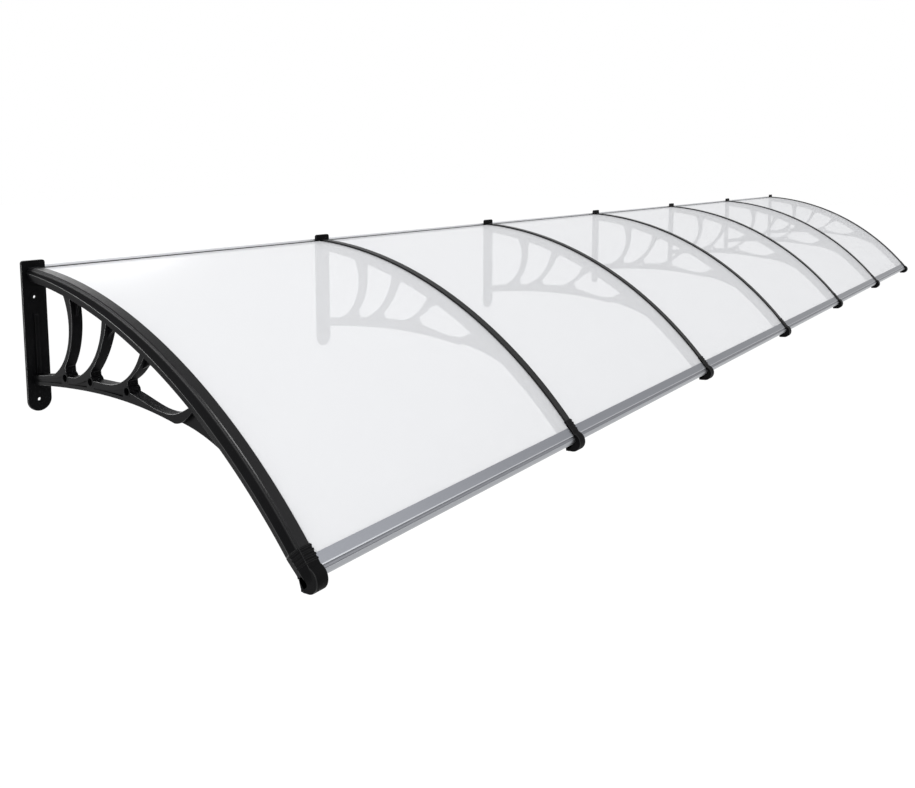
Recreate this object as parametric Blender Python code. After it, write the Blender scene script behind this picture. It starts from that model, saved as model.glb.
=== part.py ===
"""Modular door awning: seven moulded brackets carry six curved plastic sheets.

Each sheet lies on the arched ribs of two brackets, is held down by a cover strip over
each rib, ends in an aluminium rail at the front and sits on an aluminium angle at the wall.

Frame, in metres: +X runs along the awning, the wall lies on the +Y side of Y = 0, +Z is up.
The origin is the middle of the wall face of the middle bracket. Side profiles are drawn as
(out, up) pairs, where out is the distance from the wall, and they sit at Y = -out.
"""
import math

import bmesh
import bpy
from mathutils import Vector

# Modules
PANEL_COUNT = 6
PANEL_PITCH = 1.0

# Wall plate of a bracket
PLATE_WIDTH = 0.060
PLATE_HEIGHT = 0.387
PLATE_THICKNESS = 0.008
PLATE_CORNER = 0.007
SCREW_HOLE_DIAMETER = 0.0085
SCREW_SINK_DIAMETER = 0.0150
SCREW_SINK_DEPTH = 0.0035
UPPER_SCREW_DROP = 0.093
SCREW_PAD_DIAMETER = 0.024
SCREW_PAD_HEIGHT = 0.003
SPINE_WIDTH = 0.010
SPINE_HEIGHT = 0.004
SPINE_TOP = 0.060

# Arch: the circle of the cover strips' top, and how far it runs
ARCH_RADIUS = 1.400
ARCH_START_TILT = math.radians(2.5)
ARCH_BELOW_PLATE_TOP = 0.016
SHEET_END = 1.150

# Facets
ARCH_STEPS = 15
CHORD_STEPS = 7
REAR_STEPS = 6
FRONT_STEPS = 4
CURVE_STEPS = 4
BOSS_STEPS = 12
HOLE_STEPS = 10
CORNER_STEPS = 3
PLATE_END_STEPS = 9
NOSE_STEPS = 10
SHARP_ANGLE = math.radians(40)

# Layers on a rib
COVER_WIDTH = 0.028
COVER_THICKNESS = 0.0050
COVER_SIDE = 0.0030
COVER_CHAMFER = 0.0020
COVER_LIP = 0.0025
SHEET_THICKNESS = 0.0035
FIT = 0.0003

# Rib of a bracket
RIB_WIDTH = 0.028
RIB_BELLY_WIDTH = 0.040
RIB_FOOT_WIDTH = 0.025
RIB_DEPTH_WALL = 0.0260
RIB_DEPTH_DEEPEST = 0.0415
RIB_DEEPEST_AT = 0.900
BELLY_ABOVE_FOOT = 0.0215
FIN_WIDTH = 0.004
FIN_CLEARANCE = 0.0005

# Openwork under the rib
FRAME_WIDTH = 0.027
CHORD_DEPTH = 0.028
CHORD_BELOW_CENTRE = 0.1245
CHORD_CREST = 0.0245
CHORD_CREST_FRONT = 0.0425
CHORD_END = 0.600
CHORD_END_BELOW_CENTRE = 0.1145
RIBBON_DEPTH = 0.012
LOOP_MEETS_RIB = 0.716
LOOP_THICKNESS = 0.014
LOOP_OUTER_ARMS = ((0.022, 0.001), (0.040, 0.014))
LOOP_INNER_ARMS = ((0.020, 0.010), (0.002, -0.001))
RIBBON_BACK = 0.035
RIBBON_ARM = 0.040
RIBBON_DIP = 0.006
GUSSET_THICKNESS = 0.008
GUSSET_MEETS_RIB = 0.905
GUSSET_BOW = 0.013
GUSSET_BACK = 0.010
BOSS_DIAMETER = 0.028
BOSS_HOLE_DIAMETER = 0.018
BOSS_ABOVE_UNDERSIDE = 0.024
POCKET_DEPTH = 0.005
POCKET_SHALLOW = 0.0012
POCKET_FLOOR_RIM = 0.010
POCKET_END_GAP = 0.0025
POCKET_WALL_HEIGHT = 0.006
CREST_WEB_THICKNESS = 0.006

# One row per crescent strut, from the wall outwards: where its rear face leaves the rib and
# how wide it is there (along the arch), where its rear face lands on the chord and where its
# boss sits (out from the wall), how thick it is above the boss, and how far its rear and front
# faces bow outwards
STRUTS = (
    {"top": 0.178, "top_width": 0.030, "foot": 0.100, "boss": 0.160, "neck": 0.0230,
     "rear": 0.048, "front": 0.020},
    {"top": 0.352, "top_width": 0.020, "foot": 0.205, "boss": 0.273, "neck": 0.0180,
     "rear": 0.029, "front": 0.009},
    {"top": 0.515, "top_width": 0.017, "foot": 0.335, "boss": 0.424, "neck": 0.0085,
     "rear": 0.024, "front": 0.006},
)
NECK_OFFSET = 0.004
CREST_WEB_ALONG = 0.020
CREST_WEB_DOWN = 0.034

# Front cap
CAP_START = 1.110
CAP_WIDTH = 0.030
CAP_STEP = 0.0005
CAP_BELLY_END = 1.150
CAP_FLANK_END = 1.178
CAP_UNDER_END = 0.0445
RIDGE_COUNT = 4
RIDGE_LENGTH = 0.0045
RIDGE_PITCH = 0.0090
RIDGE_HEIGHT = 0.0010
NOSE_RADIUS = 0.0265
NOSE_BEYOND_SHEET = 0.0190
NOSE_BELOW_COVER = 0.0210
HEEL_LENGTH = 0.020
HEEL_THICKNESS = 0.004
HEEL_DROP = 0.002
HOLLOW_WALL = 0.0025
HOLLOW_RIM = ((1.156, 0.0245), (1.168, 0.0225), (1.177, 0.0265), (1.1815, 0.0355), (1.182, 0.047))
HOLLOW_DEPTH = 0.065
TONGUE_WIDTH = 0.014
TONGUE_DEPTH = 0.014
TONGUE_LENGTH = 0.018
TONGUE_DROP = 0.008

# Front rail, an aluminium extrusion
RAIL_WALL = 0.0013
RAIL_TOP_LIP = 0.019
RAIL_LOW_LIP = 0.009
RAIL_NOSE_RADIUS = 0.0130
RAIL_NOSE_BEYOND_SHEET = 0.0115
RAIL_NOSE_SWEEP = math.radians(220)
RAIL_FLUTE_DEPTH = 0.0022
RAIL_CORE_RADIUS = 0.0085

# Back rail and its seal
BACK_RAIL_WALL = 0.0015
BACK_RAIL_ABOVE_SHEET = 0.008
BACK_RAIL_LEDGE = 0.022
SEAL_ABOVE_SHEET = 0.0015

# Colours and finishes
BLACK_PLASTIC = ((0.012, 0.012, 0.013, 1.0), 0.42, 0.0)
BLACK_COVER = ((0.022, 0.022, 0.024, 1.0), 0.50, 0.0)
MILKY_SHEET = ((0.88, 0.89, 0.91, 1.0), 0.30, 0.0)
ALUMINIUM = ((0.52, 0.53, 0.56, 1.0), 0.35, 1.0)
BLACK_RUBBER = ((0.010, 0.010, 0.010, 1.0), 0.80, 0.0)

# What follows from the sizes above
PLATE_TOP = PLATE_HEIGHT / 2
PLATE_BOTTOM = -PLATE_HEIGHT / 2
ARCH_CENTRE = (
    -ARCH_RADIUS * math.sin(ARCH_START_TILT),
    PLATE_TOP - ARCH_BELOW_PLATE_TOP - ARCH_RADIUS * math.cos(ARCH_START_TILT),
)
SHEET_TOP = COVER_THICKNESS + FIT
SHEET_UNDER = SHEET_TOP + SHEET_THICKNESS
RIB_TOP = SHEET_UNDER + FIT
RIB_END = CAP_START - FIT
INSIDE = 0.004
PANEL_EDGE = FIN_WIDTH / 2 + FIN_CLEARANCE
SHEET_START_OUT = PLATE_THICKNESS + FIT * 2


def arch_point(along, depth):
    """Point at a distance along the arch from the wall, at a depth below the covers' top."""
    angle = ARCH_START_TILT + along / ARCH_RADIUS
    reach = ARCH_RADIUS - depth
    return (ARCH_CENTRE[0] + reach * math.sin(angle), ARCH_CENTRE[1] + reach * math.cos(angle))


def along_at(out, depth):
    """Distance along the arch at which a layer of that depth is this far out from the wall."""
    angle = math.asin((out - ARCH_CENTRE[0]) / (ARCH_RADIUS - depth))
    return (angle - ARCH_START_TILT) * ARCH_RADIUS


def rib_under(along):
    """Depth of the rib's underside: it grows from the wall to the deepest place."""
    short = (RIB_DEEPEST_AT - along) / RIB_DEEPEST_AT
    return RIB_TOP + RIB_DEPTH_DEEPEST - (RIB_DEPTH_DEEPEST - RIB_DEPTH_WALL) * short * short


def stations(start, end):
    """The shared facet lines of the arch that lie between two distances, with both ends."""
    step = SHEET_END / ARCH_STEPS
    shared = [step * i for i in range(ARCH_STEPS + 1)] + [RIB_END]
    apart = step / 8
    inner = [a for a in sorted(shared) if start + apart < a < end - apart]
    return [start] + inner + [end]


def bezier(start, first, second, end, steps):
    """Points of a cubic curve, both ends included."""
    points = []
    for i in range(steps + 1):
        t = i / steps
        u = 1 - t
        weights = (u * u * u, 3 * u * u * t, 3 * u * t * t, t * t * t)
        corners = (start, first, second, end)
        points.append(tuple(sum(w * c[k] for w, c in zip(weights, corners)) for k in (0, 1)))
    return points


def bow(start, end, rise, steps):
    """Circular arc from start to end that bulges to the right of its direction by rise."""
    a = Vector(start)
    b = Vector(end)
    half = (b - a) / 2
    side = Vector((half.y, -half.x)).normalized()
    radius = (half.length_squared + rise * rise) / (2 * rise)
    centre = a + half - side * (radius - rise)
    sweep = 2 * math.asin(min(1.0, half.length / radius))
    points = []
    for i in range(steps + 1):
        turn = sweep * (i / steps - 0.5)
        arm = side * math.cos(turn) + half.normalized() * math.sin(turn)
        points.append(tuple(centre + arm * radius))
    return points


def circle(centre, radius, steps, start=0.0, sweep=2 * math.pi):
    """Points on a circle in a profile; a full circle leaves its last point out."""
    closed = abs(sweep - 2 * math.pi) < 1e-9
    count = steps if closed else steps + 1
    turns = [start + sweep * i / steps for i in range(count)]
    return [(centre[0] + radius * math.cos(t), centre[1] + radius * math.sin(t)) for t in turns]


def chord_under():
    """Underside of the bottom chord, from inside the wall plate to the front loop."""
    return bezier(
        (0.0, -CHORD_BELOW_CENTRE),
        (CHORD_END / 3, -CHORD_BELOW_CENTRE + CHORD_CREST),
        (CHORD_END * 2 / 3, -CHORD_BELOW_CENTRE + CHORD_CREST_FRONT),
        (CHORD_END, -CHORD_END_BELOW_CENTRE),
        CHORD_STEPS,
    )


def height_on(points, out):
    """Height at which a line of points passes a distance from the wall."""
    for (o1, u1), (o2, u2) in zip(points, points[1:]):
        if min(o1, o2) <= out <= max(o1, o2):
            return u1 + (u2 - u1) * (out - o1) / (o2 - o1)
    return points[-1][1]


def chord_height(out):
    """Height of the chord's underside at a distance from the wall."""
    return height_on(chord_under(), out)


def remove_scene_objects():
    for item in list(bpy.data.objects):
        bpy.data.objects.remove(item, do_unlink=True)


def material(name, look):
    colour, roughness, metallic = look
    result = bpy.data.materials.new(name)
    result.use_nodes = True
    shader = result.node_tree.nodes["Principled BSDF"]
    shader.inputs["Base Color"].default_value = colour
    shader.inputs["Roughness"].default_value = roughness
    shader.inputs["Metallic"].default_value = metallic
    result.diffuse_color = colour
    return result


def new_object(name, mesh):
    result = bpy.data.objects.new(name, mesh)
    bpy.context.collection.objects.link(result)
    return result


def finish_mesh(name, shape):
    """Write a bmesh to a named mesh with its faces pointing outwards."""
    bmesh.ops.recalc_face_normals(shape, faces=shape.faces)
    mesh = bpy.data.meshes.new(name)
    shape.to_mesh(mesh)
    shape.free()
    return mesh


def prism(outline, left, right):
    """Solid between x = left and x = right with the given side profile."""
    shape = bmesh.new()
    corners = [shape.verts.new((left, -out, up)) for out, up in outline]
    face = shape.faces.new(corners)
    grown = bmesh.ops.extrude_face_region(shape, geom=[face])
    moved = [v for v in grown["geom"] if isinstance(v, bmesh.types.BMVert)]
    bmesh.ops.translate(shape, verts=moved, vec=(right - left, 0, 0))
    return new_object("working", finish_mesh("working", shape))


def sweep(section_at, places):
    """Solid whose cross-section, (x, depth) pairs, follows the arch through the places.

    Its faces are split into triangles, because a face whose section changes isn't flat.
    """
    shape = bmesh.new()
    rings = []
    for along in places:
        ring = []
        for x, depth in section_at(along):
            out, up = arch_point(along, depth)
            ring.append(shape.verts.new((x, -out, up)))
        rings.append(ring)
    for near, far in zip(rings, rings[1:]):
        for i in range(len(near)):
            j = (i + 1) % len(near)
            shape.faces.new((near[i], near[j], far[j], far[i]))
    shape.faces.new(rings[0])
    shape.faces.new(list(reversed(rings[-1])))
    bmesh.ops.triangulate(shape, faces=shape.faces)
    return new_object("working", finish_mesh("working", shape))


def plug(x, up, out_start, out_end, radius_start, radius_end):
    """Round plug or cone square to the wall, for pads, holes and countersinks."""
    shape = bmesh.new()
    rings = []
    for out, radius in ((out_start, radius_start), (out_end, radius_end)):
        points = circle((x, up), radius, HOLE_STEPS)
        rings.append([shape.verts.new((px, -out, pz)) for px, pz in points])
    loops = [shape.edges.new((ring[i - 1], ring[i])) for ring in rings for i in range(HOLE_STEPS)]
    bmesh.ops.bridge_loops(shape, edges=loops)
    shape.faces.new(rings[0])
    shape.faces.new(rings[1])
    return new_object("working", finish_mesh("working", shape))


def combine(body, tool, operation):
    """Join the tool to the body or cut it away, and drop the tool."""
    modifier = body.modifiers.new("combine", "BOOLEAN")
    modifier.operation = operation
    modifier.solver = "EXACT"
    modifier.object = tool
    graph = bpy.context.evaluated_depsgraph_get()
    mesh = bpy.data.meshes.new_from_object(body.evaluated_get(graph))
    body.modifiers.clear()
    body.data = mesh
    bpy.data.objects.remove(tool, do_unlink=True)
    return body


def tidy(body):
    """Merge leftovers of the cuts and shade the round parts smooth."""
    shape = bmesh.new()
    shape.from_mesh(body.data)
    bmesh.ops.remove_doubles(shape, verts=shape.verts, dist=1e-6)
    bmesh.ops.dissolve_degenerate(shape, dist=1e-6, edges=shape.edges)
    flat = math.radians(0.05)
    bmesh.ops.dissolve_limit(shape, angle_limit=flat, verts=shape.verts, edges=shape.edges)
    bmesh.ops.recalc_face_normals(shape, faces=shape.faces)
    shape.to_mesh(body.data)
    shape.free()
    body.data.shade_smooth()
    body.data.set_sharp_from_angle(angle=SHARP_ANGLE)
    return body


def wall_plate():
    """Plate with rounded upper corners and a half-round lower end, square to the wall."""
    half = PLATE_WIDTH / 2
    corner = PLATE_CORNER
    quarter = math.pi / 2
    outline = circle((half - corner, PLATE_TOP - corner), corner, CORNER_STEPS, 0, quarter)
    outline += circle((-half + corner, PLATE_TOP - corner), corner, CORNER_STEPS, quarter, quarter)
    outline += circle((0, PLATE_BOTTOM + half), half, PLATE_END_STEPS, math.pi, math.pi)
    shape = bmesh.new()
    face = shape.faces.new([shape.verts.new((x, 0, up)) for x, up in outline])
    grown = bmesh.ops.extrude_face_region(shape, geom=[face])
    moved = [v for v in grown["geom"] if isinstance(v, bmesh.types.BMVert)]
    bmesh.ops.translate(shape, verts=moved, vec=(0, -PLATE_THICKNESS, 0))
    return new_object("working", finish_mesh("working", shape))


def both_sides(right):
    """Closed section from its right half, listed from the top down."""
    return right + [(-x, depth) for x, depth in reversed(right)]


def rib_section(along):
    """Rib with a centre fin between the sheets, sides that flare out and a narrower foot."""
    fin = FIN_WIDTH / 2
    under = rib_under(along)
    return both_sides([
        (fin, SHEET_TOP),
        (fin, RIB_TOP),
        (RIB_WIDTH / 2, RIB_TOP),
        (RIB_BELLY_WIDTH / 2, under - BELLY_ABOVE_FOOT),
        (RIB_FOOT_WIDTH / 2, under),
    ])


def strut_lines(strut):
    """Rear and front face of a crescent strut, both from the rib down to the chord."""
    rear_top = arch_point(strut["top"], rib_under(strut["top"]))
    front_at = strut["top"] + strut["top_width"]
    front_top = arch_point(front_at, rib_under(front_at))
    foot = (strut["foot"], chord_height(strut["foot"]) + CHORD_DEPTH)
    rear = bow(rear_top, foot, -strut["rear"], REAR_STEPS)
    neck_out = strut["boss"] + NECK_OFFSET
    neck = (neck_out, height_on(rear, neck_out) - strut["neck"])
    chord_top = chord_height(neck_out) + CHORD_DEPTH
    front = bow(front_top, neck, -strut["front"], FRONT_STEPS)
    inside_rear = arch_point(strut["top"], rib_under(strut["top"]) - INSIDE)
    inside_front = arch_point(front_at, rib_under(front_at) - INSIDE)
    return [inside_rear] + rear, [inside_front] + front + [(neck_out + NECK_OFFSET / 2, chord_top)]


def openwork_outline():
    """Chord, three struts and front loop as one side profile with open bays above."""
    under = chord_under()
    loop_end = LOOP_MEETS_RIB + LOOP_THICKNESS
    outline = under[:]
    outer_end = arch_point(loop_end, rib_under(loop_end) - INSIDE)
    inner_end = arch_point(LOOP_MEETS_RIB, rib_under(LOOP_MEETS_RIB) - INSIDE)
    outer = [(CHORD_END + out, under[-1][1] + up) for out, up in LOOP_OUTER_ARMS]
    outline += bezier(under[-1], *outer, outer_end, CURVE_STEPS)[1:]
    ribbon_end = CHORD_END - RIBBON_BACK
    low = (ribbon_end, chord_height(ribbon_end) + RIBBON_DEPTH)
    inner = [(CHORD_END + out, low[1] + up) for out, up in LOOP_INNER_ARMS]
    outline += bezier(inner_end, *inner, low, CURVE_STEPS)
    ribbon_start = STRUTS[-1]["boss"] + NECK_OFFSET * 3
    start = (ribbon_start, chord_height(ribbon_start) + CHORD_DEPTH - INSIDE)
    flat = (ribbon_end - RIBBON_ARM, low[1])
    dip = (ribbon_start + RIBBON_ARM, start[1] - RIBBON_DIP)
    outline += bezier(low, flat, dip, start, CURVE_STEPS)[1:]
    for strut in reversed(STRUTS):
        rear, front = strut_lines(strut)
        outline += list(reversed(front)) + rear
    outline.append((0.0, chord_height(0.0) + CHORD_DEPTH - INSIDE))
    return outline


def pocket_outline(start, end, start_height, end_height):
    """Wedge-shaped pocket in the chord's side, deepest at the boss on its right."""
    low = [(o, chord_height(o) + POCKET_FLOOR_RIM) for o in (start, end)]
    return low + [(end, low[-1][1] + end_height), (start, low[0][1] + start_height)]


def gusset_outline():
    """Thin web from the loop along the rib's underside, ending tangent to it."""
    under = chord_under()
    end = arch_point(GUSSET_MEETS_RIB, rib_under(GUSSET_MEETS_RIB) - INSIDE)
    heel = CHORD_END - GUSSET_BACK
    lower = bow((heel, chord_height(heel) + GUSSET_BACK / 4), end, -GUSSET_BOW, REAR_STEPS)
    span = GUSSET_MEETS_RIB - LOOP_MEETS_RIB
    shares = (2 / 3, 1 / 3, 0.0)
    places = [LOOP_MEETS_RIB + LOOP_THICKNESS / 2 + span * share for share in shares]
    upper = [arch_point(a, rib_under(a) - INSIDE * 2) for a in places]
    return lower + upper + [(CHORD_END, under[-1][1] + RIBBON_DEPTH / 2)]


def crest_web_outline(strut):
    """Small triangular web in the corner between a strut's front face and the rib."""
    rear, front = strut_lines(strut)
    front_at = strut["top"] + strut["top_width"]
    web_end = front_at + CREST_WEB_ALONG
    rib_side = arch_point(web_end, rib_under(web_end) - INSIDE)
    strut_side = min(front, key=lambda p: abs(p[1] - (front[1][1] - CREST_WEB_DOWN)))
    inside_strut = (strut_side[0] - INSIDE, strut_side[1])
    inside_top = arch_point(front_at - INSIDE, rib_under(front_at) - INSIDE)
    middle = (front[2][0] + CREST_WEB_ALONG / 4, front[2][1])
    return [inside_strut, strut_side, middle, rib_side, inside_top]


def bracket_mesh():
    """One moulding: wall plate, flared rib, chord, struts, bosses, webs and tongue."""
    wall_start = along_at(INSIDE, RIB_TOP)
    body = sweep(rib_section, stations(wall_start, RIB_END))
    half = FRAME_WIDTH / 2
    combine(body, prism(openwork_outline(), -half, half), "UNION")
    web = GUSSET_THICKNESS / 2
    combine(body, prism(gusset_outline(), -web, web), "UNION")
    crest = CREST_WEB_THICKNESS / 2
    for strut in STRUTS:
        combine(body, prism(crest_web_outline(strut), -crest, crest), "UNION")
    combine(body, wall_plate(), "UNION")
    add_spine(body)
    add_bosses(body)
    cut_pockets(body)
    combine(body, tongue(), "UNION")
    cut_screw_holes(body)
    return tidy(body).data


def add_spine(body):
    """Stiffening ridge down the middle of the wall plate, from under the upper screw."""
    front = PLATE_THICKNESS + SPINE_HEIGHT
    bottom = chord_height(PLATE_THICKNESS) + CHORD_DEPTH / 2
    outline = [
        (INSIDE, bottom),
        (front, bottom),
        (front, SPINE_TOP - SPINE_HEIGHT),
        (INSIDE, SPINE_TOP + SPINE_HEIGHT),
    ]
    combine(body, prism(outline, -SPINE_WIDTH / 2, SPINE_WIDTH / 2), "UNION")


def boss_centre(strut):
    return (strut["boss"], chord_height(strut["boss"]) + BOSS_ABOVE_UNDERSIDE)


def add_bosses(body):
    """Round tube at the foot of each strut, open from side to side."""
    for strut in STRUTS:
        ring = circle(boss_centre(strut), BOSS_DIAMETER / 2, BOSS_STEPS)
        combine(body, prism(ring, -RIB_WIDTH / 2, RIB_WIDTH / 2), "UNION")
    for strut in STRUTS:
        hole = circle(boss_centre(strut), BOSS_HOLE_DIAMETER / 2, HOLE_STEPS)
        combine(body, prism(hole, -RIB_WIDTH, RIB_WIDTH), "DIFFERENCE")


def pocket(outline, side):
    """Cutter for one pocket, whose floor slopes in towards the boss."""
    face = side * FRAME_WIDTH / 2
    result = prism(outline, face, face + side * POCKET_DEPTH)
    start = outline[0][0]
    length = outline[1][0] - start
    for vert in result.data.vertices:
        if abs(vert.co.x) < abs(face) + POCKET_DEPTH / 2:
            share = (-vert.co.y - start) / length
            sunk = POCKET_SHALLOW + (POCKET_DEPTH - POCKET_SHALLOW) * share
            vert.co.x = face - side * sunk
    return result


def cut_pockets(body):
    """Sloping wedges in both sides of the chord, one on the wall side of each boss."""
    reach = BOSS_DIAMETER / 2 + POCKET_END_GAP
    start = PLATE_THICKNESS + INSIDE
    start_height = POCKET_WALL_HEIGHT
    for strut in STRUTS:
        end = strut["boss"] - reach
        end_height = CHORD_DEPTH - POCKET_FLOOR_RIM + POCKET_END_GAP
        outline = pocket_outline(start, end, start_height, end_height)
        for side in (-1, 1):
            combine(body, pocket(outline, side), "DIFFERENCE")
        start = strut["boss"] + reach
        start_height = POCKET_END_GAP


def tongue_outline(margin):
    """Side profile of the rib's tongue; a positive margin gives the socket around it."""
    top = RIB_TOP + TONGUE_DROP - margin
    bottom = RIB_TOP + TONGUE_DROP + TONGUE_DEPTH + margin
    tip = RIB_END + TONGUE_LENGTH + margin
    root = RIB_END - INSIDE
    corners = ((root, top), (tip, top), (tip, bottom), (root, bottom))
    return [arch_point(along, depth) for along, depth in corners]


def tongue():
    """Block on the rib's front end that the front cap slides onto."""
    return prism(tongue_outline(0.0), -TONGUE_WIDTH / 2, TONGUE_WIDTH / 2)


def cut_screw_holes(body):
    """Countersunk wall screw holes, the upper one in a low round pad."""
    face = PLATE_THICKNESS
    upper = PLATE_TOP - UPPER_SCREW_DROP
    lower = PLATE_BOTTOM + PLATE_WIDTH / 2
    pad = SCREW_PAD_DIAMETER / 2
    combine(body, plug(0, upper, INSIDE, face + SCREW_PAD_HEIGHT, pad, pad), "UNION")
    hole = SCREW_HOLE_DIAMETER / 2
    sink = SCREW_SINK_DIAMETER / 2
    for up, top in ((upper, face + SCREW_PAD_HEIGHT), (lower, face)):
        combine(body, plug(0, up, -INSIDE, top + INSIDE, hole, hole), "DIFFERENCE")
        slope = (sink - hole) / SCREW_SINK_DEPTH
        wide = sink + slope * INSIDE
        combine(body, plug(0, up, top - SCREW_SINK_DEPTH, top + INSIDE, hole, wide), "DIFFERENCE")


def cover_mesh(lip_side):
    """Strip over the sheets' edges, with sloped shoulders, from the wall plate to the cap.

    At an end of the awning a lip fills the slot of the sheet that isn't there: lip_side is
    -1 or 1 for the side that it is on, and 0 for a strip between two sheets.
    """
    half = COVER_WIDTH / 2
    section = both_sides([
        (half - COVER_CHAMFER, 0.0),
        (half, COVER_THICKNESS - COVER_SIDE),
        (half, COVER_THICKNESS),
    ])
    start = along_at(SHEET_START_OUT, COVER_THICKNESS)
    places = stations(start, CAP_START - FIT)
    body = sweep(lambda along: section, places)
    if lip_side:
        inner = lip_side * (half - COVER_LIP)
        outer = lip_side * half
        levels = (COVER_THICKNESS - COVER_SIDE / 2, RIB_TOP - FIT)
        lip = [(inner, levels[0]), (outer, levels[0]), (outer, levels[1]), (inner, levels[1])]
        combine(body, sweep(lambda along: lip, places), "UNION")
    return tidy(body).data


def sheet_mesh():
    """Curved sheet between the fins of two neighbouring ribs."""
    start = along_at(SHEET_START_OUT, SHEET_UNDER)
    left = PANEL_EDGE
    right = PANEL_PITCH - PANEL_EDGE
    section = [(left, SHEET_TOP), (right, SHEET_TOP), (right, SHEET_UNDER), (left, SHEET_UNDER)]
    return tidy(sweep(lambda along: section, stations(start, SHEET_END))).data


def rail_nose_centre():
    return arch_point(SHEET_END + RAIL_NOSE_BEYOND_SHEET, rail_top_depth() + RAIL_NOSE_RADIUS)


def rail_top_depth():
    return SHEET_TOP - FIT - RAIL_WALL


def heading(along):
    """Direction of the arch at a place, as an angle in the (out, up) plane."""
    return -(ARCH_START_TILT + along / ARCH_RADIUS)


def rail_outline(margin):
    """Side profile of the front rail, or with a margin the space that it needs.

    The profile without margin has the sheet's slot open towards the wall, the rounded
    nose with a shallow flute in front, and no hollow: the hollow is cut separately.
    """
    end = SHEET_END
    top = rail_top_depth() - margin
    lip_start = end - RAIL_TOP_LIP - margin
    low_start = end - RAIL_LOW_LIP - margin
    low = SHEET_UNDER + FIT + RAIL_WALL + margin
    centre = rail_nose_centre()
    along = end + RAIL_NOSE_BEYOND_SHEET
    radius = RAIL_NOSE_RADIUS + margin
    face = heading(along)
    nose = circle(centre, radius, NOSE_STEPS, face + math.pi / 2, -RAIL_NOSE_SWEEP)
    if margin == 0.0:
        middle = len(nose) // 2
        for i, share in ((middle - 2, 0.5), (middle - 1, 1.0), (middle, 0.5)):
            pull = 1 - RAIL_FLUTE_DEPTH * share / radius
            nose[i] = tuple(c + (p - c) * pull for p, c in zip(nose[i], centre))
    outline = [arch_point(lip_start, top)] + nose
    outline += [arch_point(end + FIT, low), arch_point(low_start, low)]
    if margin > 0.0:
        outline += [arch_point(low_start, SHEET_UNDER), arch_point(lip_start, SHEET_TOP)]
    else:
        slot_end = end + FIT
        outline += [
            arch_point(low_start, SHEET_UNDER + FIT),
            arch_point(slot_end, SHEET_UNDER + FIT),
            arch_point(slot_end, SHEET_TOP - FIT),
            arch_point(lip_start, SHEET_TOP - FIT),
        ]
    return outline


def front_rail_mesh():
    """Extruded rail: two lips around the sheet's edge and a hollow fluted nose."""
    right = PANEL_PITCH - PANEL_EDGE
    body = prism(rail_outline(0.0), PANEL_EDGE, right)
    core = circle(rail_nose_centre(), RAIL_CORE_RADIUS, NOSE_STEPS)
    combine(body, prism(core, PANEL_EDGE - INSIDE, right + INSIDE), "DIFFERENCE")
    return tidy(body).data


def nose_outline():
    """Side profile of the cap's round nose and its heel, joined to the block behind."""
    crown = SHEET_END + NOSE_BEYOND_SHEET
    centre = arch_point(crown, NOSE_BELOW_COVER)
    normal = heading(crown) + math.pi / 2
    start = normal + math.acos(min(1.0, NOSE_BELOW_COVER / NOSE_RADIUS))
    nose = circle(centre, NOSE_RADIUS, NOSE_STEPS, start, -(start + math.pi / 2))
    heel_out = centre[0] - HEEL_LENGTH
    heel_up = centre[1] - NOSE_RADIUS
    heel = [(heel_out, heel_up - HEEL_DROP), (heel_out, heel_up - HEEL_DROP + HEEL_THICKNESS)]
    inside = CAP_BELLY_END - INSIDE
    return nose + heel + [arch_point(inside, CAP_UNDER_END - INSIDE), arch_point(inside, INSIDE)]


def cap_section(along, proud=0.0):
    """Section of the cap's block, which carries on the rib's flared sides.

    From the end of the sheets' edge on, the flare runs out into the sides of the nose.
    """
    under = rib_under(RIB_END)
    belly = under - BELLY_ABOVE_FOOT
    run_in = min(1.0, (along - CAP_START) / (CAP_BELLY_END - CAP_START))
    run_out = max(0.0, (along - CAP_BELLY_END) / (CAP_FLANK_END - CAP_BELLY_END))
    rise = (under - CAP_UNDER_END) * run_in
    half = CAP_WIDTH / 2 + proud
    flare = (RIB_BELLY_WIDTH - RIB_WIDTH) / 2
    widest = half + flare * (1 - run_out * run_out) - CAP_STEP * run_out
    foot = RIB_FOOT_WIDTH / 2 + CAP_STEP + proud
    return both_sides([
        (half - CAP_STEP * run_out, INSIDE * run_out - proud),
        (widest, belly - rise),
        (foot, under - rise),
    ])


def cap_mesh(open_sides):
    """Ridged cap that clasps the ends of two rails around a centre web."""
    places = [CAP_START, CAP_BELLY_END]
    places += [CAP_BELLY_END + (CAP_FLANK_END - CAP_BELLY_END) * share for share in (0.5, 1.0)]
    body = sweep(cap_section, places)
    half = CAP_WIDTH / 2
    combine(body, prism(nose_outline(), -half, half), "UNION")
    cut_nose_hollows(body)
    add_ridges(body)
    for side in open_sides:
        cut_sheet_slot(body, side)
    socket = TONGUE_WIDTH / 2 + FIT
    combine(body, prism(tongue_outline(FIT), -socket, socket), "DIFFERENCE")
    return tidy(body).data


def cut_nose_hollows(body):
    """Hollow under the rim on each side of the nose, open downwards and to the wall."""
    rim = [arch_point(along, depth) for along, depth in HOLLOW_RIM]
    low = [arch_point(along, HOLLOW_DEPTH) for along in (HOLLOW_RIM[-1][0], HOLLOW_RIM[0][0])]
    floor = CAP_WIDTH / 2 - HOLLOW_WALL
    for left, right in ((floor, CAP_WIDTH), (-CAP_WIDTH, -floor)):
        combine(body, prism(rim + low, left, right), "DIFFERENCE")


def add_ridges(body):
    """Grip ridges across the top and down both flared sides behind the nose."""
    for i in range(RIDGE_COUNT):
        start = CAP_START + RIDGE_LENGTH / 2 + i * RIDGE_PITCH
        ridge = sweep(ridge_section, [start, start + RIDGE_LENGTH])
        combine(body, ridge, "UNION")


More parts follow.
